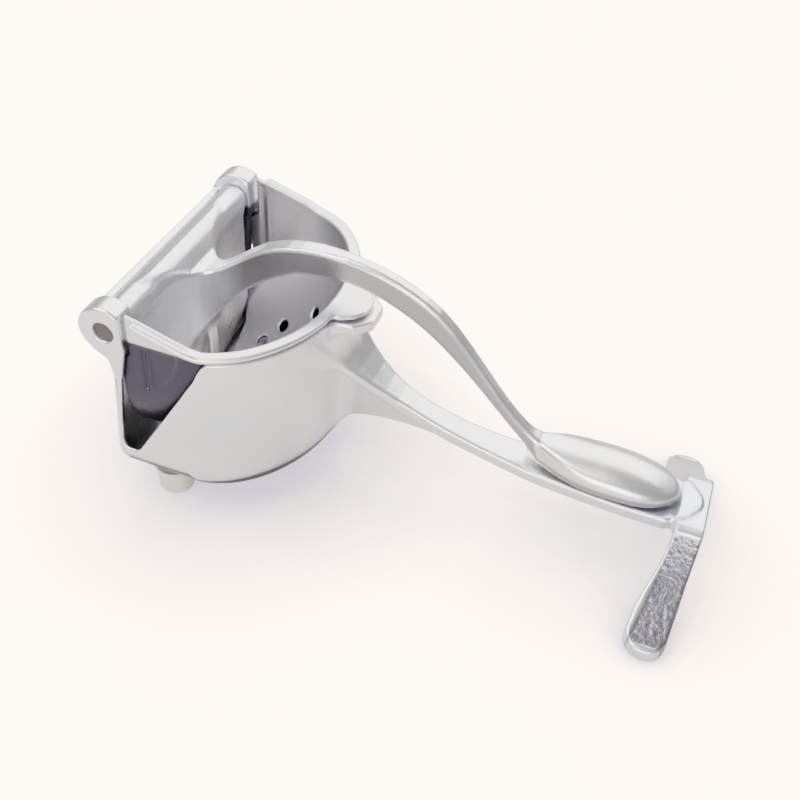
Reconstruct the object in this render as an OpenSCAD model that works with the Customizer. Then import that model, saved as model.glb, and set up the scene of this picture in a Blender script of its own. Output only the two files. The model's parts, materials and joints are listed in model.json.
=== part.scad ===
// Hand fruit press: a cast cup with a strainer basket, squeezed by a long lever on a steel pin.
// The origin is on the table under the middle of the press: X runs from the pivot towards the
// thumb pad, Y runs across along the pivot pin, and Z is up.

/* [Overall] */
// Length from the pivot boss to the outer face of the leg
overall_length = 222; // [216:1:228]
// Height of the pivot axis above the table
pivot_height = 80; // [79:0.5:82]
// Distance between the outer faces of the two pivot bosses
boss_span = 106; // [106:0.5:108]

/* [Pivot] */
// Diameter of the steel pivot pin
pin_d = 8; // [6:0.5:8]
// Outer diameter of each pivot boss
boss_d = 20; // [19:0.5:21]
// Length of each pivot boss along the pin
boss_len = 9; // [8:0.5:9]
// Outer diameter of the lever's barrel
barrel_d = 11.6; // [11:0.2:12]
// Depth of the pin's ends below the boss faces
pin_recess = 1; // [0.5:0.1:2]

/* [Cup] */
// Depth of the cup from the pivot axis to its underside
cup_depth = 69.5; // [68:0.5:70]
// Thickness of the cup's walls
wall = 1.9; // [1.8:0.1:1.9]
// Radius of the cup's bottom corner
cup_corner = 11; // [8:1:12]
// Reach of the cup behind the pivot axis
cup_reach = 68; // [68:0.5:69]
// Diameter of each peg foot at the table
peg_d = 13.5; // [11:0.5:14]

/* [Strainer] */
// Thickness of the basket's shell
shell = 1.6; // [1.4:0.1:1.6]
// Width of the basket's rim
rim_w = 5; // [4.5:0.1:5]
// Thickness of the basket's rim
rim_t = 2.2; // [2:0.1:2.4]
// Diameter of the drain holes
drain_d = 4.6; // [4.2:0.2:4.8]

/* [Lever] */
// Thickness of the arm from side to side
arm_w = 6.4; // [5.6:0.2:7]
// Thickness of the press plate
plate_t = 3; // [2.6:0.1:3]
// Half width of the thumb pad
pad_half = 12; // [10:0.5:12.5]

/* [Handle and leg] */
// Thickness of the lower handle's flange
flange_t = 5.6; // [5:0.2:6]
// Thickness of the web under the flange
web_w = 5; // [4:0.5:6]
// Radius of each rounded toe
toe_r = 7.7; // [7:0.1:8]

/* [Hidden] */
eps = 0.01;
pivot_x = boss_d / 2 - overall_length / 2;
ground = -pivot_height;
half_span = boss_span / 2;
boss_in = half_span - boss_len;
leg_x = overall_length - boss_d / 2;
ear_bore_d = pin_d + 0.04;
barrel_bore_d = pin_d + 0.1;
boss_face_x = 6.7;
tail_t = 2;

// Plan of the cup and the basket: straight sides, then half an ellipse round the back.
bend_x = 26.5;
cup_half = half_span - 0.2;
bowl_half = 49;
bowl_reach = 63.5;
cup_top = -2.5;
front_lean = 0.085;
front_top_x = 0.2;
front_t = 0.5;
function front_x(z) = front_top_x + front_lean * z;

// The barrel turns inside a curved lip that joins the two bosses.
lip_r = boss_d / 2 - 0.2;
lip_in_r = barrel_d / 2 + 1;

// Spout notch in each side wall.
notch_r = 4;
notch_low = [3.6, -52];
notch_left_top = 4.6;
notch_right = [38, -1];

// Front face of the basket, and the slope of its side walls up to the bosses.
basket_front = 7.4;
slope_x = 35.5;
slope = 0.3;
plate_x = 5.8;
plate_half = 40.5;
plate_gap = 0.9;
tab_reach = 78;
tab_half = 11;

// Lower handle: the line of its top, seen from the side.
tip_x = leg_x - 3;
handle_flat = -50.8;
tip_z = -48.4;
toe_half = 44.5;
toe_x = leg_x - 2 - toe_r;
toe_edge = 5;

function bezier(p, t) =
    pow(1 - t, 3) * p[0] + 3 * t * pow(1 - t, 2) * p[1] + 3 * t * t * (1 - t) * p[2] + t * t * t * p[3];
function curve(p, n) = [for (i = [0:n]) bezier(p, i / n)];
function arc(c, r, from, to, n) =
    [for (i = [0:n]) c + r * [cos(from + (to - from) * i / n), sin(from + (to - from) * i / n)]];
function backwards(p) = [for (i = [len(p) - 1:-1:0]) p[i]];
function mirrored(p) = [for (q = p) [q[0], -q[1]]];
function raised(p, h) = [for (q = p) [q[0], q[1] + h]];
function both_sides(p) = concat(p, backwards(mirrored(p)));

// Distance from the pivot axis to the swept bowl, at a distance y from the middle.
function bowl_r(y, grow) =
    bend_x + (bowl_reach - bend_x + grow) * sqrt(max(0, 1 - pow(y / (bowl_half + grow), 2)));

// Joins its children into one closed skin, as one casting.
module cast_together() {
    resize([0, 0, 0])
        union()
            children();
}

module at_pivot() {
    translate([pivot_x, 0, pivot_height])
        children();
}

// Draws an outline of X and Z, across Y from -half to half.
module across(half) {
    rotate([90, 0, 0])
        linear_extrude(2 * half, center = true)
            children();
}

module cross_rod(d, half) {
    rotate([90, 0, 0])
        cylinder(d = d, h = 2 * half, center = true, $fn = 64);
}

module each_side() {
    children();
    mirror([0, 1, 0])
        children();
}

// Plan of the cup: a straight front at front, sides at half, and a back that reaches to reach.
module plan(front, half, reach) {
    back = arc([0, 0], 1, -90, 90, 36);
    polygon(concat(
        [[front, -half]],
        [for (q = back) [bend_x + (reach - bend_x) * q[0], half * q[1]]],
        [[front, half]]
    ));
}

// A solid cup with a rounded bottom corner, in from the outside by inset.
module cup_solid(inset, top) {
    low = inset - cup_depth;
    r = cup_corner - inset;
    front_in = inset > 0 ? inset + front_t : 0;
    hull() {
        translate([0, 0, top - 1])
            linear_extrude(1)
                plan(front_x(top) + front_in, cup_half - inset, cup_reach - inset);
        for (a = [0:15:90]) {
            z = low + r * (1 - sin(a));
            shrink = inset + r * (1 - cos(a));
            translate([0, 0, z])
                linear_extrude(0.1)
                    plan(front_x(z) + front_in, cup_half - shrink, cup_reach - shrink);
        }
    }
}

module notch_outline() {
    low_arc = arc(notch_low, notch_r, 183, 327, 12);
    polygon(concat(
        [[notch_left_top, 20], [notch_left_top, -15]],
        low_arc,
        [notch_right, [notch_right[0] + 8, 20]]
    ));
}

// The pivot boss and the tail under it that fades into the side wall.
module boss() {
    translate([0, half_span - boss_len / 2, 0]) {
        difference() {
            cross_rod(boss_d, boss_len / 2);
            translate([boss_face_x, -boss_len, -boss_d])
                cube([boss_d, 2 * boss_len, 2 * boss_d]);
        }
        translate([0, boss_len / 2 - tail_t / 2, 0])
            across(tail_t / 2)
                polygon([[-4, -8], [0, -12], [1.6, -20], [4.2, -20], [5.2, -13], [6, -5.7]]);
    }
}

module barrel_lip() {
    outline = concat(
        arc([0, 0], lip_r, 160, 284, 28),
        arc([0, 0], lip_in_r, 284, 160, 28)
    );
    across(boss_in + 1)
        polygon(outline);
    across(boss_in + 1.5)
        polygon([[-1.4, -9.5], [2.2, -8.8], [-0.2, -26]]);
}

module peg() {
    translate([13.8, 40.8, ground])
        cylinder(d1 = peg_d, d2 = peg_d + 1.4, h = 16, $fn = 48);
}

function handle_top() = concat(
    curve([[60, -4], [78, -34], [100, -46], [145, handle_flat]], 14),
    curve([[150, -51], [170, -51.2], [196, -51.4], [tip_x, tip_z]], 6)
);

function handle_half() = concat(
    curve([[60, 21], [72, 10.5], [78, 4.4], [106, 5]], 10),
    curve([[110, 5], [134, 5.4], [156, 11], [leg_x - 12, 14]], 8),
    [[leg_x - 6.2, 6.9], [tip_x - 0.6, 2.4], [tip_x, 0]]
);

module handle() {
    top = handle_top();
    intersection() {
        across(30)
            polygon(concat(top, backwards(raised(top, -flange_t))));
        translate([0, 0, ground])
            linear_extrude(pivot_height)
                polygon(both_sides(handle_half()));
    }
    web_low = curve([[60, -63], [72, -48], [96, -50], [122, -53.4]], 8);
    across(web_w / 2)
        polygon(concat([[60, -6]], curve([[62, -10], [78, -36], [100, -48], [122, -51]], 8), backwards(web_low)));
}

// The ledge behind the rim that the basket's tab rests on.
module ledge() {
    translate([60, -tab_half - 2, -8])
        linear_extrude(5.6)
            polygon([[0, 0], [15, 2], [20.6, 8], [20.6, 18], [15, 24], [0, 26]]);
}

module leg() {
    outer = concat(
        [[0, tip_z + 0.2], [12, tip_z]],
        curve([[14, tip_z - 1.4], [22, -60], [34, -70], [toe_half + toe_r, ground + toe_edge]], 8),
        [[toe_half + toe_r, ground]]
    );
    inner = concat(
        [[toe_half - 5, ground]],
        curve([[38, ground + 1.2], [27, -72], [19, -57.5], [12, -55.6]], 8),
        [[0, -55.4]]
    );
    plan_side = concat(
        [[leg_x, 0], [leg_x, 14], [leg_x - 2, toe_half]],
        arc([toe_x, toe_half], toe_r, 0, 180, 16),
        curve([[toe_x - toe_r, toe_half], [toe_x - toe_r + 1, 30], [leg_x - 10.6, 26], [leg_x - 10.6, 14]], 6),
        [[leg_x - 10.6, 8], [leg_x - 10.6, 0]]
    );
    each_side()
        intersection() {
            rotate([90, 0, 90])
                linear_extrude(leg_x + 1)
                    polygon(concat(outer, inner));
            translate([0, 0, ground])
                linear_extrude(pivot_height)
                    polygon(plan_side);
        }
}

module rough_casting() {
    difference() {
        union() {
            difference() {
                union() {
                    cup_solid(0, cup_top);
                    ledge();
                    handle();
                    each_side()
                        peg();
                }
                cup_solid(wall, cup_top + 12);
                across(half_span + 5)
                    notch_outline();
            }
            barrel_lip();
            each_side()
                boss();
            leg();
        }
        cross_rod(2 * lip_in_r - 0.2, boss_in + 0.15);
    }
}

module base_casting() {
    color("silver")
        at_pivot()
            cast_together()
                difference() {
                    rough_casting();
                    cross_rod(ear_bore_d, half_span + 1);
                }
}

// Half outline of the swept bowl, as distance from the axis and distance from the middle.
function bowl_side(grow) =
    [for (i = [0:20]) let (a = 90 * i / 20) [bowl_r((bowl_half + grow) * sin(a), grow), (bowl_half + grow) * sin(a)]];

// The bowl follows the sweep of the press plate: a turn about the pivot axis from above to below.
module bowl_sweep(grow) {
    outline = concat([[0, 0]], bowl_side(grow), [[0, bowl_half + grow]]);
    each_side()
        rotate([-90, 0, 0])
            rotate(-75)
                rotate_extrude(angle = 165, $fn = 96)
                    polygon(outline);
}

// The rim: level round the back, rising to the bosses along each side.
module rim_band() {
    side_top = slope * (slope_x - 11);
    intersection() {
        translate([0, 0, -20])
            linear_extrude(60)
                plan(-10, bowl_half + rim_w, bowl_reach + rim_w);
        across(half_span + 5)
            polygon([[11, side_top], [11, side_top - 7], [slope_x + 1, -rim_t], [90, -rim_t], [90, 0], [slope_x, 0]]);
    }
    translate([60, -tab_half, 0.2 - rim_t])
        linear_extrude(rim_t - 0.5)
            polygon([[0, 0], [13, 1], [tab_reach - 60, 7], [tab_reach - 60, 15], [13, 21], [0, 22]]);
}

// Front ends of the side walls, between the bowl and the bosses.
module side_cheeks() {
    across(bowl_half + shell - 0.05)
        polygon([[0, -3.3], [slope_x - 5, -3.3], [slope_x - 5, 1.2], [0, slope * slope_x]]);
}

// The side walls stop behind the bosses and reach further forward under them.
module front_cut() {
    across(70)
        polygon([
            [-60, 60], [basket_front, 60], [basket_front, -8.2], [6, -9.6], [3.8, -11.4],
            [3.8, -34], [basket_front, -44], [basket_front, -90], [-60, -90]
        ]);
}

// Drain holes widen a little towards the outside, so that pips fall through.
module drains() {
    for (place = [[41.4, 30.6], [61.1, 31.1], [70.7, 25.5], [50, 8], [62, 8], [74, 8]])
        for (side = [-1, 1])
            rotate([0, 90 + place[0], 0])
                hull() {
                    translate([0, side * place[1], 30])
                        cylinder(d = drain_d, h = 1, $fn = 20);
                    translate([0, side * place[1], 80])
                        cylinder(d = drain_d + 0.6, h = 1, $fn = 20);
                }
}

module strainer_basket() {
    color("lightgray")
        at_pivot()
            difference() {
                union() {
                    intersection() {
                        bowl_sweep(shell);
                        translate([-10, -60, -80])
                            cube([100, 120, 79.2]);
                    }
                    side_cheeks();
                    rim_band();
                }
                bowl_sweep(0);
                drains();
                front_cut();
            }
}

function arm_top() = concat(
    [[2, 5.2], [5, 3]],
    curve([[9, -1], [16, -3], [20, 2], [30, 9.5]], 6),
    curve([[36, 13.5], [54, 23], [84, 21], [104, 5.5]], 10),
    curve([[110, 0], [124, -15], [134, -32], [146, -38.5]], 8)
);
function arm_low() = concat(
    curve([[4, -44], [8, -30], [24, -6], [44, 4.5]], 8),
    curve([[50, 7.5], [66, 12], [88, 6], [104, -7]], 8),
    curve([[110, -12], [126, -26], [136, -40], [150, -50]], 8)
);

function arm_half() = concat(
    [[0, 22]],
    curve([[4, 15], [8, 5], [14, arm_w / 2 + 0.8], [34, arm_w / 2 + 0.6]], 8),
    [[90, arm_w / 2], [132, arm_w / 2 - 0.1], [150, arm_w / 2 + 0.4]]
);

module arm() {
    intersection() {
        across(30)
            polygon(concat(arm_top(), backwards(arm_low())));
        translate([0, 0, -60])
            linear_extrude(90)
                polygon(both_sides(arm_half()));
    }
}

// Thumb pad: a flat-sided drop with a domed top.
module thumb_pad() {
    hull() {
        translate([140, 0, -44])
            sphere(d = arm_w, $fn = 24);
        for (lift = [[-49.3, 0], [-43.4, 0], [-40.4, 2.6], [-38.8, 6]])
            translate([176, 0, lift[0]])
                linear_extrude(eps)
                    scale([2.05, 1])
                        circle(pad_half - lift[1], $fn = 48);
    }
}

function plate_side() = concat(
    [[0, 0], [0, plate_half]],
    [for (i = [0:14])
        let (y = plate_half * (1 - i / 14))
        [-(bowl_r(y, 0) - plate_gap), y]]
);

module press_plate() {
    translate([plate_x - plate_t, 0, 0])
        rotate([0, 90, 0])
            linear_extrude(plate_t)
                each_side()
                    polygon([for (q = plate_side()) [-q[0], q[1]]]);
}

module press_lever() {
    color("gainsboro")
        at_pivot()
            cast_together()
                difference() {
                    union() {
                        cross_rod(barrel_d, boss_in - 0.4);
                        press_plate();
                        arm();
                        thumb_pad();
                    }
                    cross_rod(barrel_bore_d, boss_in + 1);
                }
}

module pivot_pin() {
    color("dimgray")
        at_pivot()
            cross_rod(pin_d, half_span - pin_recess);
}

base_casting();
strainer_basket();
press_lever();
pivot_pin();
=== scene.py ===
import json
import math

import bpy
import numpy as np
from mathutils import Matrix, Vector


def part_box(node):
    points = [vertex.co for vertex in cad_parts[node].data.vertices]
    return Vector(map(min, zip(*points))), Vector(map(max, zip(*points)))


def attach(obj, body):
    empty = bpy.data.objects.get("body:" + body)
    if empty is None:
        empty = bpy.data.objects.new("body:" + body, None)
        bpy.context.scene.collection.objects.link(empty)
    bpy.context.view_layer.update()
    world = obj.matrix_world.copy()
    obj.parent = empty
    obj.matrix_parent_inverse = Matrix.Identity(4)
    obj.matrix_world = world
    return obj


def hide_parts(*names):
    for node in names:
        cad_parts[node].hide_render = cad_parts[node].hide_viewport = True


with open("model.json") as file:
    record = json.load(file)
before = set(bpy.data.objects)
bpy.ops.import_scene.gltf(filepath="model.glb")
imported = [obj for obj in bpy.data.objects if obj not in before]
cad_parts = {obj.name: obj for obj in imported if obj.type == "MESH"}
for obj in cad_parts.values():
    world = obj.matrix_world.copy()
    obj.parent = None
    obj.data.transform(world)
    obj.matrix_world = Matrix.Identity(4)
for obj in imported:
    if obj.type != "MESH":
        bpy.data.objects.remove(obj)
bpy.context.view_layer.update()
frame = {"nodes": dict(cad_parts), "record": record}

import openvdb
from mathutils import Matrix, Vector

# Lengths in the fields below are in millimetres from the pivot axis: x away from it towards the
# thumb pad, y across from the middle, z up. MM and PIVOT take them to the row frame in metres.
MM = 0.001
PIVOT = Vector(frame["record"]["behaviour"]["joints"][0]["pos_m"])
GROUND = -PIVOT.z / MM
CELL = 0.45

# Bowl and cup: straight sides up to BEND, then half an ellipse. HALF is half the width, REACH the
# distance to the back.
BEND = 26.5
BOWL_HALF, BOWL_REACH = 49.0, 63.5
CUP_HALF, CUP_REACH, CUP_TOP, CUP_DEPTH = 52.8, 68.0, -3.1, 69.5
WALL, FRONT_WALL = 1.9, 2.4
FRONT_X, FRONT_LEAN = 0.2, 0.085
PEG_X, PEG_Y, PEG_R = 13.8, 40.8, 6.75

# Pivot: bosses on the pin, the lip behind the barrel, and the lever's barrel between the bosses.
BORE_R = 4.02
BOSS_R, BOSS_IN, BOSS_OUT, BOSS_FACE = 10.0, 44.0, 53.0, 6.7
LIP_R, LIP_IN = 9.8, 6.8
BARREL_R, BARREL_HALF, BARREL_BORE_R = 5.8, 43.6, 4.05

# Strainer basket: shell, rim and the rim's slope up to the pivot.
SHELL, RIM_W, RIM_T = 1.6, 5.0, 2.2
BASKET_FRONT, SLOPE_X, SLOPE = 7.4, 35.5, 0.3
HOLE_R = 2.3

# Press plate and thumb pad, then the handle's tip and the leg with its toes.
PLATE_X, PLATE_T, PLATE_HALF, PLATE_GAP = 5.8, 3.0, 40.5, 0.9
RIB_X, RIB_HALF = 8.5, 3.1
PAD_TOP, PAD_BOTTOM = -38.9, -49.3
TIP_X, TIP_Z, FLANGE_T = 209.0, -48.4, 5.6
LEG_X, TOE_HALF, TOE_R = 212.0, 44.5, 7.7


# ---- distance fields ----
def union(a, b, k):
    h = np.clip(0.5 + 0.5 * (b - a) / k, 0, 1)
    return b + (a - b) * h - k * h * (1 - h)


def cut(a, b, k):
    """a without b, its new edge eased by k."""
    return -union(-a, b, k)


def both(a, b, r):
    """Where a and b overlap, with an edge radius of r."""
    u, v = a + r, b + r
    return np.minimum(np.maximum(u, v), 0) + np.hypot(np.maximum(u, 0), np.maximum(v, 0)) - r


def outline(u, v, points):
    """Signed distance to a closed outline of straight edges."""
    near = np.full(np.broadcast(u, v).shape, 1e9, np.float32)
    sign = np.ones_like(near)
    for (ax, ay), (bx, by) in zip(points, points[1:] + points[:1]):
        ex, ey, wx, wy = bx - ax, by - ay, u - ax, v - ay
        t = np.clip((wx * ex + wy * ey) / max(ex * ex + ey * ey, 1e-9), 0, 1)
        near = np.minimum(near, (wx - ex * t) ** 2 + (wy - ey * t) ** 2)
        above, below, left = v >= ay, v < by, ex * wy > ey * wx
        sign = np.where((above & below & left) | ~(above | below | left), -sign, sign)
    return (sign * np.sqrt(near)).astype(np.float32)


def half_outline(x, y, points):
    """outline for the half above y = 0 of a shape that is the same on both sides."""
    return outline(x, y, [(points[0][0], -60)] + points + [(points[-1][0], -60)])


def bean(x, y, half, reach):
    """Straight sides at half, then half an ellipse out to reach: the plan of the cup and the bowl."""
    a = reach - BEND
    k0 = np.hypot((x - BEND) / a, y / half)
    k1 = np.hypot((x - BEND) / a**2, y / half**2)
    back = np.where(k0 < 0.05, -0.9 * a, k0 * (k0 - 1) / np.maximum(k1, 1e-6))
    return np.where(x > BEND, back, np.maximum(y - half, BEND - reach)).astype(np.float32)


def bezier(a, b, c, d, n=10):
    t = np.linspace(0, 1, n + 1)[:, None]
    a, b, c, d = (np.array(p, float) for p in (a, b, c, d))
    line = (1 - t) ** 3 * a + 3 * t * (1 - t) ** 2 * b + 3 * t * t * (1 - t) * c + t**3 * d
    return [tuple(p) for p in line]


def arc(centre, r, start, end, n=16):
    turn = np.radians(np.linspace(start, end, n + 1))
    return [(centre[0] + r * math.cos(a), centre[1] + r * math.sin(a)) for a in turn]


def ripple(x, y, z, size, seed):
    """Smooth uneven waves, about 1 high, for hand-finished edges and cast skin."""
    s = 2 * math.pi / size
    return (
        np.sin(s * (x + 0.31 * y) + seed)
        + np.sin(s * (0.83 * y - 0.4 * z) + 2.1 * seed)
        + np.sin(s * (0.71 * z + 0.57 * x - 0.2 * y) + 3.7 * seed)
    ) / 3


def soften(field):
    """The field, each cell averaged a little with its neighbours, which quietens very fine creases."""
    for axis in range(3):
        pads = [(1, 1) if axis == other else (0, 0) for other in range(3)]
        wide = np.moveaxis(np.pad(field, pads, mode="reflect"), axis, 0)
        field = np.moveaxis((wide[:-2] + 2 * wide[1:-1] + wide[2:]) / 4, 0, axis)
    return field


class Field:
    """A block of cells over a CAD node's box, for the half with Y above zero."""

    def __init__(self, node):
        low, high = (np.array(c) / MM - np.array(PIVOT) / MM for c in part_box(node))
        self.low, self.high = low, high
        self.start = low - 2 * CELL
        count = np.ceil((high - low) / CELL).astype(int) + 5
        ys = np.arange(0, high[1] + 3 * CELL, CELL, dtype=np.float32)
        xs = (self.start[0] + CELL * np.arange(count[0])).astype(np.float32)
        zs = (self.start[2] + CELL * np.arange(count[2])).astype(np.float32)
        self.x, self.y, self.z = xs[:, None, None], ys[None, :, None], zs[None, None, :]
        self.edge_y = float(ys[-1])

    def mesh(self, name, field, tone):
        """The field's surface as an object inside the CAD node's box, with its tones at each point."""
        x, y, z = self.x, self.y, self.z
        field = soften(field)
        inset = 0.02
        for low, axis in ((self.low[0], x), (self.low[2], z)):
            field = np.maximum(field, low + inset - axis)
        for high, axis in ((self.high[0], x), (self.high[1], y), (self.high[2], z)):
            field = np.maximum(field, axis - high + inset)
        whole = np.concatenate([field[:, :0:-1, :], field], axis=1)
        grid = openvdb.FloatGrid(2.0)
        grid.copyFromArray(np.clip(whole, -2, 2).astype(np.float32))
        points, quads = grid.convertToQuads(0.0)
        points = points.astype(np.float64) * CELL
        points += np.array([self.start[0], -self.edge_y, self.start[2]])
        quads = quads.astype(np.int64)
        a, b, c = (points[quads[:, i]] for i in range(3))
        if np.einsum("ij,ij->i", np.cross(b - a, c - a), a).sum() < 0:
            quads = quads[:, ::-1]
        mesh = bpy.data.meshes.new(name)
        mesh.vertices.add(len(points))
        mesh.vertices.foreach_set("co", (points * MM + np.array(PIVOT)).astype(np.float32).ravel())
        mesh.loops.add(quads.size)
        mesh.loops.foreach_set("vertex_index", quads.astype(np.int32).ravel())
        mesh.polygons.add(len(quads))
        mesh.polygons.foreach_set("loop_start", np.arange(0, quads.size, 4, dtype=np.int32))
        mesh.update(calc_edges=True)
        mesh.polygons.foreach_set("use_smooth", np.ones(len(quads), bool))
        values = tone(points[:, 0], points[:, 1], points[:, 2])
        for layer, value in values.items():
            data = mesh.attributes.new(layer, "FLOAT", "POINT")
            data.data.foreach_set("value", value.astype(np.float32))
        obj = bpy.data.objects.new(name, mesh)
        bpy.context.collection.objects.link(obj)
        return obj


def fade(value, low, high):
    """0 up to low, 1 from high, smooth between."""
    t = np.clip((value - low) / (high - low), 0, 1)
    return t * t * (3 - 2 * t)


# ---- base casting ----
HANDLE_TOP = (
    bezier((60, -4), (78, -34), (100, -46), (145, -50.8), 14)
    + bezier((150, -51), (170, -51.2), (196, -51.4), (TIP_X, TIP_Z), 6)
)
HANDLE_HALF = (
    [(50, 0)]
    + bezier((50, 25), (66, 17), (76, 4.6), (104, 5.2), 12)
    + bezier((110, 5.4), (134, 5.6), (156, 10), (LEG_X - 14, 12), 8)
    + [(LEG_X - 8, 9), (LEG_X - 5, 5), (LEG_X - 3.4, 2), (LEG_X - 3, 0)]
)
NOTCH = (
    [(4.6, 20), (4.6, -15)]
    + arc((3.6, -52), 4, 183, 327, 10)
    + [(32.7, -11.6)]
    + bezier((32.7, -11.6), (35, -6), (36.5, -2.2), (41, -1.8), 5)
    + [(50, 20)]
)


LEDGE = [(55, 0), (55, 13), (75, 11), (80.6, 5), (80.6, 0)]
BOSS_TAIL = [(-4, -8), (0, -12), (1.6, -20), (4.2, -20), (5.8, -13.5), (6.6, -10), (6.6, -5.7)]
LIP_TAIL = [(-1.4, -9.5), (2.2, -8.8), (-0.2, -26)]


def handle(x, y, z):
    under = [(px, pz - FLANGE_T) for px, pz in HANDLE_TOP]
    side = outline(x, z, HANDLE_TOP + under[::-1])
    dish = 0.7 * np.exp(-((y / 5.5) ** 2)) * fade(x, 140, 165) * fade(-x, -206, -198)
    flange = both(side + np.where(z > TIP_Z - 4.6, dish, 0), half_outline(x, y, HANDLE_HALF), 1.4)
    low = bezier((60, -63), (72, -48), (96, -50), (122, -53.4), 8)
    top = bezier((62, -10), (78, -36), (100, -48), (122, -51), 8)
    web = both(outline(x, z, [(60, -6)] + top + low[::-1]), y - 2.5, 1.2)
    return union(flange, web, 4)


def leg(x, y, z):
    over = (
        [(0, TIP_Z - 0.6), (12, TIP_Z - 0.8)]
        + bezier((15, TIP_Z - 1.4), (20, -55), (34, -69.5), (TOE_HALF + TOE_R, GROUND + 5), 14)
        + [(TOE_HALF + TOE_R, GROUND)]
    )
    under = (
        [(TOE_HALF - 5, GROUND)]
        + bezier((38, GROUND + 1.2), (27, -72), (19, -57.5), (12, -55.6), 8)
        + [(0, -55.4)]
    )
    toe = (LEG_X - 2 - TOE_R, TOE_HALF)
    inner = LEG_X - 10.6
    plan = (
        [(LEG_X, 0), (LEG_X, 14), (LEG_X - 2, TOE_HALF)]
        + arc(toe, TOE_R, 0, 180, 16)
        + bezier((toe[0] - TOE_R, TOE_HALF), (toe[0] - TOE_R + 1, 30), (inner, 26), (inner, 14), 6)
        + [(inner, 8), (inner, 0)]
    )
    arch = outline(y, z, [(-60, over[0][1])] + over + under + [(-60, under[-1][1])])
    strap = half_outline(x, y, plan)
    solid = both(arch, strap, 1.0)
    pebbles = 1 + ripple(x, y, z, 2.2, 1.3) * ripple(y, z, x, 3.1, 4.1)
    return solid + 0.3 * leg_panel(x, y, z) * pebbles


def leg_panel(x, y, z):
    """1 on the rough panel of the leg's outer face, 0 off it."""
    across = fade(y, 15.2, 15.9) * fade(-y, -(TOE_HALF + 5.4), -(TOE_HALF + 4.4))
    level = -59 - (y - 20) * 0.72
    left = LEG_X - 9.6 - 0.2 * np.maximum(y - 17, 0)
    within = fade(x, left - 0.4, left + 0.4) * fade(-x, -(LEG_X - 0.2), -(LEG_X - 0.9))
    return across * within * fade(z, level - 5, level - 1)


def base_field(f):
    x, y, z = f.x, f.y, f.z
    front = FRONT_X + FRONT_LEAN * z - x
    draft = 0.02 * (CUP_TOP - z) * fade(x, 20, 60)
    side = bean(x, y, CUP_HALF, CUP_REACH) + draft + 0.8 * fade(-x, -30, -26) * fade(-z, 6, 20)
    plan = both(side, front, 5)
    outer = both(plan, -z - CUP_DEPTH, 13)
    inside = both(both(side + WALL, front + FRONT_WALL, 3), -z - CUP_DEPTH + WALL, 11)
    body = union(outer, handle(x, y, z), 7)
    ledge = both(half_outline(x, y, LEDGE), np.abs(z + 5.2) - 2.8, 1.2)
    body = union(body, ledge, 4)
    peg = np.hypot(x - PEG_X, y - PEG_Y) - (PEG_R + 0.045 * (z - GROUND))
    body = union(body, both(peg, GROUND - z, 0.8), 3)
    cup = cut(both(body, z - CUP_TOP, 0.5), inside, 0.8)
    notch = np.maximum(outline(x, z, NOTCH), 30 - y)
    cup = cut(cup, notch, 0.9)
    rho = np.hypot(x, z)
    across = np.abs(y - (BOSS_IN + BOSS_OUT) / 2) - (BOSS_OUT - BOSS_IN) / 2
    boss = both(both(rho - BOSS_R, across, 0.9), x - BOSS_FACE, 0.7)
    tail = both(outline(x, z, BOSS_TAIL), np.abs(y - 52) - 1, 0.6)
    lip = outline(x, z, arc((0, 0), LIP_R, 167, 284, 20) + arc((0, 0), LIP_IN, 284, 167, 20))
    lip = union(lip, outline(x, z, LIP_TAIL), 1.5)
    lip = both(lip, y - BOSS_IN - 1.5, 0.5)
    cup = union(cup, lip, 1.2)
    cup = union(cup, union(boss, tail, 2.5), 1.6)
    cup = union(cup, leg(x, y, z), 2.5)
    cup = cut(cup, np.maximum(rho - LIP_IN + 0.1, y - BOSS_IN), 0.3)
    return cut(cup, rho - BORE_R, 0.3)


def base_tone(x, y, z):
    """Painted shade inside the cup (the tone inner), pebbled on the near leg only."""
    near = fade(-y, 0, 1)
    y = np.abs(y)
    side = bean(x, y, CUP_HALF, CUP_REACH)
    # The tone inner paints shade on the cup's inner walls and floor, where little light reaches.
    inner = fade(-side, 0.9, 1.7) * fade(-z, 1.5, 4) * fade(x, 0, 1)
    inner = inner * fade(-x, -CUP_REACH, -CUP_REACH + 2)
    inner = inner * fade(z, -CUP_DEPTH + 0.5, -CUP_DEPTH + 1.5)
    return {"inner": inner, "rough": near * leg_panel(x, y, z)}


# ---- strainer basket ----
# Drain holes: degrees down from level at the pivot, and distance from the middle.
HOLES = ((41.4, 30.6), (61.1, 31.1), (70.7, 25.5), (50, 8), (62, 8), (74, 8))
TAB = [(60, 0), (60, 11), (69.6, 11.2), (74.5, 8.6), (77.6, 4.2), (77.9, 0)]

# The side walls stop behind the bosses and reach further forward under them.
FRONT_CUT = [
    (-60, 60), (BASKET_FRONT, 60), (BASKET_FRONT, -8.2), (6, -9.6), (3.8, -11.4),
    (3.8, -46), (BASKET_FRONT, -54), (BASKET_FRONT, -90), (-60, -90),
]


def rim_top(x):
    """Height of the rim's top edge, level at the back and rising to the pivot."""
    return SLOPE * np.maximum(SLOPE_X - x, 0)


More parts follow.
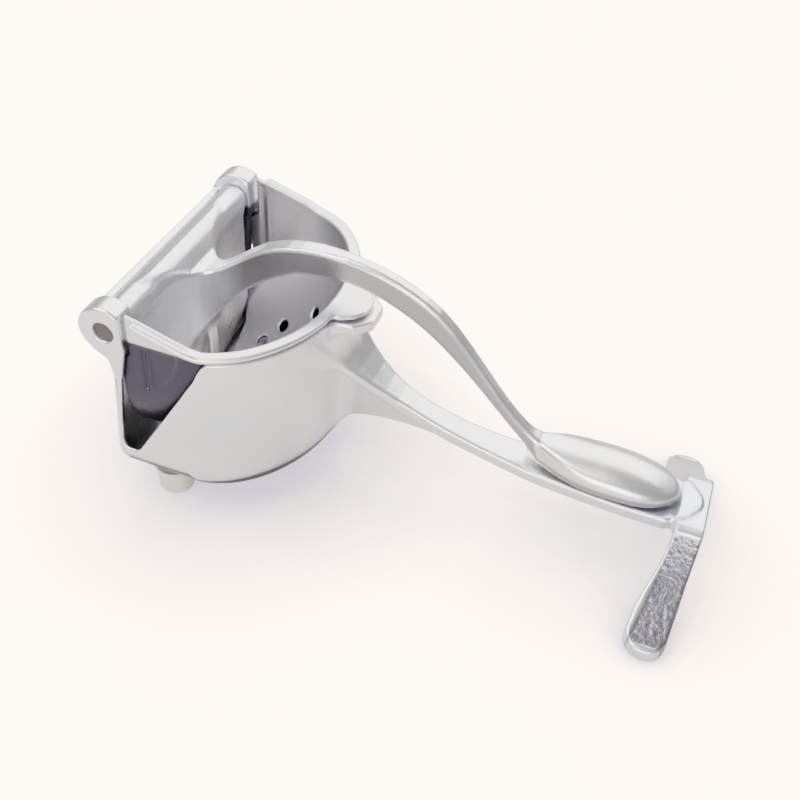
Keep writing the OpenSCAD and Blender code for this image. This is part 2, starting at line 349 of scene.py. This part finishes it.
def basket_field(f):
    x, y, z = f.x, f.y, f.z
    rho = np.hypot(x, z)
    bowl = bean(rho, y, BOWL_HALF, BOWL_REACH)
    shell = both(bowl - SHELL, z + 0.8, 0.4)
    plan = bean(x, y, BOWL_HALF, BOWL_REACH)
    wobble = 0.25 * ripple(x, y, z, 37, 0.7)
    ring = both(plan - RIM_W + 0.25 + wobble, z - rim_top(x), 0.8)
    ring = both(ring, -(z + RIM_T) + 0.9 * rim_top(x), 0.8)
    ring = both(ring, 11 - x, 0.8)
    tab = both(half_outline(x, y, TAB) + 0.3 * wobble, np.abs(z + 1.2) - 0.8, 0.6)
    cheek = both(y - BOWL_HALF - SHELL + 0.05, z - SLOPE * (SLOPE_X - x), 0.6)
    cheek = both(cheek, np.maximum(x - SLOPE_X + 5, -3.3 - z), 0.5)
    cheek = np.maximum(cheek, -x)
    solid = union(union(shell, ring, 0.8), union(cheek, tab, 0.5), 1.0)
    hollow = np.where(z < 0, bowl, np.minimum(bowl, plan))
    solid = cut(solid, hollow, 0.7)
    panel = np.maximum(np.maximum(15.7 - x, rho - 27), np.maximum(SHELL - 0.5 - bowl, z + 4))
    slot = np.maximum(np.maximum(np.abs(x - 13.4) - 0.7, np.abs(z + 14) - 9), SHELL - 0.8 - bowl)
    solid = cut(solid, np.minimum(panel, slot), 0.4)
    groove = np.maximum(np.maximum(np.abs(x - 10.2) - 1.2, np.abs(z + 9) - 14), bowl - 0.4)
    solid = cut(solid, groove, 0.4)
    for lift, at in HOLES:
        c, s = math.cos(math.radians(lift)), math.sin(math.radians(lift))
        hole = np.hypot(x * s + z * c, y - at) - HOLE_R
        solid = cut(solid, np.maximum(hole, 30 - x * c + z * s), 0.5)
    return both(solid, -outline(x, z, FRONT_CUT), 0.5)


def basket_tone(x, y, z):
    """A mid tone of painted shade inside the bowl, and a deep painted shade on its outside under the
    rim, where it stands down in the cup.
    """
    bowl = bean(np.hypot(x, z), np.abs(y), BOWL_HALF, BOWL_REACH)
    # inner paints a mid shade inside the bowl; rough here paints deep shade on the outside wall below
    # the rim, not a rough finish.
    inner = fade(-z + rim_top(x), 0.3, 1.6) * fade(-bowl, -0.9, -0.3)
    return {"inner": inner, "rough": fade(bowl, 0.5, 0.8) * fade(-z, 2.0, 3.0)}


# ---- press lever ----
ARM_TOP = (
    [(2, 5.2), (5, 3)]
    + bezier((9, -1), (16, -3), (20, 2), (30, 9.5), 6)
    + bezier((36, 13.5), (54, 23), (84, 21), (104, 5.5), 12)
    + bezier((110, 0), (124, -15), (134, -32), (146, -38.5), 8)
)
ARM_LOW = (
    bezier((4, -44), (8, -30), (24, -6), (44, 4.5), 8)
    + bezier((50, 7.5), (66, 12), (88, 6), (104, -7), 10)
    + bezier((110, -12), (126, -26), (136, -40), (150, -50), 8)
)
ARM_HALF = (
    [(0, 0)]
    + bezier((0, 28), (6, 21), (7, 5.5), (18, 3.9), 12)
    + [(34, 3.8), (90, 3.2), (132, 3.1), (150, 3.5), (170, 3.5), (170, 0)]
)

PAD_HALF = (
    [(143, 0)]
    + bezier((143, 3), (150, 4), (157, 11.9), (174, 12), 10)
    + bezier((180, 12), (193, 12), (200.6, 6.5), (200.6, 0), 10)
)


def lever_field(f):
    x, y, z = f.x, f.y, f.z
    rho = np.hypot(x, z)
    barrel = both(rho - BARREL_R, y - BARREL_HALF, 0.5)
    curve = np.sqrt(np.maximum(0, 1 - (y / BOWL_HALF) ** 2))
    reach = BEND + (BOWL_REACH - BEND) * curve - PLATE_GAP
    plate = both(y - PLATE_HALF, (-z - reach) * 0.8, 2.5)
    plate = both(both(plate, np.abs(x - PLATE_X + PLATE_T / 2) - PLATE_T / 2, 0.7), z, 0.5)
    side = outline(x, z, ARM_TOP + ARM_LOW[::-1])
    plan = half_outline(x, y, ARM_HALF)
    step = 0.9 * fade(y, 2.0, 2.7) * fade(x, 55, 75) * fade(-x, -150, -140)
    arm = both(side + step, plan, 1.1)
    drop = half_outline(x, y, PAD_HALF)
    fall = 6.5 * np.clip((x - 172) / 29, 0, 1.2) ** 2.2
    dome = z - PAD_TOP + fall + 4.5 * np.clip(y / 12, 0, 1.2) ** 2.6
    pad = both(both(drop, dome * 0.85, 1.8), PAD_BOTTOM - z, 1.8)
    rib = both(y - RIB_HALF, -z - 60, 1)
    rib = both(rib, np.abs(x - RIB_X - 0.3 * fade(-z, 20, 45)) - 3.2, 1.1)
    solid = union(barrel, plate, 2.5)
    solid = union(solid, both(rib, z + 14, 3), 1.8)
    solid = union(solid, arm, 3.5)
    solid = union(solid, pad, 2.2)
    solid = np.maximum(solid, np.where(x < 30, (rho - reach) * 0.8, -9))
    return cut(solid, rho - BARREL_BORE_R, 0.2)


def lever_tone(x, y, z):
    """Painted shade: a darker tone on the arm's flanks and round the pad's lower edge."""
    # The arm's side faces and the underside of the pad are darkened as painted shade.
    flank_shade = fade(-outline(x, z, ARM_TOP + ARM_LOW[::-1]), 0.7, 1.5)
    flank_shade = flank_shade * fade(np.abs(y), 2.1, 2.9) * fade(x, 14, 30)
    pad_edge_shade = fade(-z, 45.2, 46.4) * fade(x, 142, 150)
    return {"inner": np.clip(flank_shade + pad_edge_shade, 0, 1), "rough": np.zeros_like(x)}


# ---- finishes ----
# The two tints that a casting's colour drifts between.
WARM, COOL = (1.0, 0.96, 0.87), (0.76, 0.80, 0.93)


def material(name, light, painted_shade_colour, pebble_and_painted_shade_colour, rough, metallic=0.9, pebbled=False):
    """A cast metal: cloudy colour, uneven polish and a fine skin.

    It turns to its painted shade colour where the tone inner is 1, and to its third colour where rough
    is 1: the pebble colour on the leg's panel, a painted shade on the basket's outside."""
    mat = bpy.data.materials.new(name)
    mat.use_nodes = True
    nodes, links = mat.node_tree.nodes, mat.node_tree.links
    shader = nodes["Principled BSDF"]
    where = nodes.new("ShaderNodeTexCoord")

    def noise(scale, detail):
        cloud = nodes.new("ShaderNodeTexNoise")
        cloud.inputs["Scale"].default_value = scale
        cloud.inputs["Detail"].default_value = detail
        links.new(where.outputs["Object"], cloud.inputs["Vector"])
        return cloud.outputs["Fac"]

    def spread(value, low, high):
        scale = nodes.new("ShaderNodeMapRange")
        scale.inputs["From Min"].default_value = 0.3
        scale.inputs["From Max"].default_value = 0.7
        scale.inputs["To Min"].default_value = low
        scale.inputs["To Max"].default_value = high
        links.new(value, scale.inputs["Value"])
        return scale.outputs["Result"]

    def mix(factor, one, two):
        blend = nodes.new("ShaderNodeMix")
        blend.data_type = "RGBA"
        links.new(factor, blend.inputs["Factor"])
        for colour, socket in ((one, blend.inputs[6]), (two, blend.inputs[7])):
            if isinstance(colour, tuple):
                socket.default_value = (*colour, 1)
            else:
                links.new(colour, socket)
        return blend.outputs[2]

    def layer(name_of):
        data = nodes.new("ShaderNodeAttribute")
        data.attribute_name = name_of
        return data.outputs["Fac"]

    warm, cool = (tuple(a * b for a, b in zip(light, tint)) for tint in (WARM, COOL))
    cloudy = mix(spread(noise(17, 3), 0, 1), warm, cool)
    # Painted shade: the tone inner blends in the second colour.
    with_painted_shade = mix(layer("inner"), cloudy, painted_shade_colour)
    flecks = mix(spread(noise(900, 5), 0, 1), pebble_and_painted_shade_colour, tuple(1.7 * c for c in pebble_and_painted_shade_colour))
    # Where rough is 1: the pebble colour on the leg's panel, and on the basket a painted shade.
    links.new(mix(layer("rough"), with_painted_shade, flecks if pebbled else pebble_and_painted_shade_colour), shader.inputs["Base Color"])
    shader.inputs["Metallic"].default_value = metallic
    links.new(spread(noise(60, 4), rough - 0.03, rough + 0.05), shader.inputs["Roughness"])
    bump = nodes.new("ShaderNodeBump")
    if pebbled:
        depth = nodes.new("ShaderNodeMapRange")
        depth.inputs["To Min"].default_value = 0.12
        depth.inputs["To Max"].default_value = 0.55
        links.new(layer("rough"), depth.inputs["Value"])
        links.new(depth.outputs["Result"], bump.inputs["Strength"])
    else:
        bump.inputs["Strength"].default_value = 0.12
    bump.inputs["Distance"].default_value = 0.0005
    links.new(noise(700, 3), bump.inputs["Height"])
    links.new(bump.outputs["Normal"], shader.inputs["Normal"])
    return mat


def place(node, obj, mat, body):
    """Put the finish on the object, in the place of its CAD node and on that node's body."""
    obj.data.materials.append(mat)
    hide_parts(node)
    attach(obj, body)


def build():
    # Each finish's second colour is a painted shade; the basket's third colour is a painted shade for
    # its outside under the rim.
    cast = material(
        "cast satin",
        light=(0.94, 0.94, 0.94),
        painted_shade_colour=(0.065, 0.062, 0.08),
        pebble_and_painted_shade_colour=(0.20, 0.19, 0.222),
        rough=0.29,
        pebbled=True,
    )
    bright = material(
        "cast bright",
        light=(0.93, 0.93, 0.92),
        painted_shade_colour=(0.34, 0.33, 0.34),
        pebble_and_painted_shade_colour=(0.5, 0.5, 0.5),
        rough=0.30,
    )
    basket = material(
        "basket satin",
        light=(0.86, 0.85, 0.85),
        painted_shade_colour=(0.52, 0.50, 0.53),
        pebble_and_painted_shade_colour=(0.055, 0.05, 0.075),
        rough=0.34,
    )
    pin = material(
        "pin steel",
        light=(0.09, 0.08, 0.075),
        painted_shade_colour=(0.08, 0.08, 0.08),
        pebble_and_painted_shade_colour=(0.08, 0.08, 0.08),
        rough=0.5,
        metallic=0.5,
    )
    for node, field, tone, mat, body, slot_name in (
        ("base_casting", base_field, base_tone, cast, "base", "cast_satin"),
        ("strainer_basket", basket_field, basket_tone, basket, "strainer", "strainer_satin"),
        ("press_lever", lever_field, lever_tone, bright, "lever", "cast_bright"),
    ):
        block = Field(node)
        obj = block.mesh(node + "_surface", field(block), tone)
        place(node, obj, mat, body)
    steel = frame["nodes"]["pivot_pin"]
    steel.data.materials.clear()
    steel.data.materials.append(pin)


# ---- stage, light and camera ----
# What the camera sees where there is no object; it lights nothing at this strength.
PALE = (1.0, 0.71, 0.50, 1)
SEEN_GLOW = 13.0


def floor():
    """A plain pale floor with a soft painted shadow near the object."""
    mesh = bpy.data.meshes.new("floor")
    mesh.from_pydata([(-9, -9, 0), (9, -9, 0), (9, 9, 0), (-9, 9, 0)], [], [(0, 1, 2, 3)])
    obj = bpy.data.objects.new("floor", mesh)
    bpy.context.collection.objects.link(obj)
    mat = bpy.data.materials.new("pale floor")
    mat.use_nodes = True
    nodes, links = mat.node_tree.nodes, mat.node_tree.links
    shader = nodes["Principled BSDF"]
    shader.inputs["Base Color"].default_value = (0.62, 0.60, 0.57, 1)
    shader.inputs["Roughness"].default_value = 0.9
    shader.inputs["Specular IOR Level"].default_value = 0.1
    # Painted shadow: ambient occlusion turns the floor's glow towards a lavender shadow colour close
    # to the object.
    painted_shadow_ao = nodes.new("ShaderNodeAmbientOcclusion")
    painted_shadow_ao.samples = 8
    painted_shadow_ao.inputs["Distance"].default_value = 0.07
    tint = nodes.new("ShaderNodeMix")
    tint.data_type = "RGBA"
    tint.inputs[6].default_value = (0.06, 0.055, 0.085, 1)
    tint.inputs[7].default_value = PALE
    deepen_shadow = nodes.new("ShaderNodeMath")
    deepen_shadow.operation = "POWER"
    deepen_shadow.inputs[1].default_value = 5.0
    links.new(painted_shadow_ao.outputs["AO"], deepen_shadow.inputs[0])
    links.new(deepen_shadow.outputs["Value"], tint.inputs["Factor"])
    links.new(tint.outputs[2], shader.inputs["Emission Color"])
    seen = nodes.new("ShaderNodeLightPath")
    glow = nodes.new("ShaderNodeMapRange")
    glow.inputs["To Min"].default_value = 0.25
    glow.inputs["To Max"].default_value = SEEN_GLOW
    links.new(seen.outputs["Is Camera Ray"], glow.inputs["Value"])
    links.new(glow.outputs["Result"], shader.inputs["Emission Strength"])
    mesh.materials.append(mat)


def lamp(name, where, size, power, colour):
    """An area lamp that faces the middle of the object."""
    data = bpy.data.lights.new(name, "AREA")
    data.shape = "RECTANGLE"
    data.size, data.size_y = size
    data.energy = power
    data.color = colour
    obj = bpy.data.objects.new(name, data)
    obj.location = where
    aim = Vector((0, 0, 0.05)) - Vector(where)
    obj.rotation_euler = aim.to_track_quat("-Z", "Y").to_euler()
    bpy.context.collection.objects.link(obj)


def studio():
    floor()
    world = bpy.data.worlds.new("studio")
    world.use_nodes = True
    nodes, links = world.node_tree.nodes, world.node_tree.links
    back = nodes["Background"]
    back.inputs["Color"].default_value = (1.0, 0.985, 0.97, 1)
    back.inputs["Strength"].default_value = 0.29
    seen_back = nodes.new("ShaderNodeBackground")
    seen_back.inputs["Color"].default_value = PALE
    seen_back.inputs["Strength"].default_value = SEEN_GLOW
    seen = nodes.new("ShaderNodeLightPath")
    choose = nodes.new("ShaderNodeMixShader")
    links.new(seen.outputs["Is Camera Ray"], choose.inputs["Fac"])
    links.new(back.outputs["Background"], choose.inputs[1])
    links.new(seen_back.outputs["Background"], choose.inputs[2])
    links.new(choose.outputs["Shader"], nodes["World Output"].inputs["Surface"])
    bpy.context.scene.world = world
    lamp("key", (-0.5, -0.3, 1.0), (0.8, 0.8), 21, (1.0, 0.98, 0.95))
    lamp("fill", (0.1, -0.9, 0.4), (0.7, 0.4), 12, (0.95, 0.96, 1.0))
    lamp("back", (-0.05, 0.85, 0.85), (1.5, 0.8), 22, (1.0, 0.99, 0.97))


# The camera: where it stands in millimetres from the pivot, and its turn from +Y, tilt down and roll.
EYE = Vector((179.61, -275.98, 223.67))
TURN, TILT, ROLL = -17.79, 42.44, 4.19
LENS = 45.96


def camera():
    turn, tilt, roll = (math.radians(angle) for angle in (TURN, TILT, ROLL))
    flat = math.cos(tilt)
    ahead = Vector((math.sin(turn) * flat, math.cos(turn) * flat, -math.sin(tilt)))
    level = Vector((math.cos(turn), -math.sin(turn), 0))
    upright = level.cross(ahead)
    right = math.cos(roll) * level + math.sin(roll) * upright
    up = math.cos(roll) * upright - math.sin(roll) * level
    data = bpy.data.cameras.new("camera")
    data.lens, data.sensor_width = LENS, 36
    obj = bpy.data.objects.new("camera", data)
    turned = Matrix((right, up, -ahead)).transposed().to_4x4()
    obj.matrix_world = Matrix.Translation(PIVOT + MM * EYE) @ turned
    bpy.context.collection.objects.link(obj)
    bpy.context.scene.camera = obj


build()
studio()
camera()
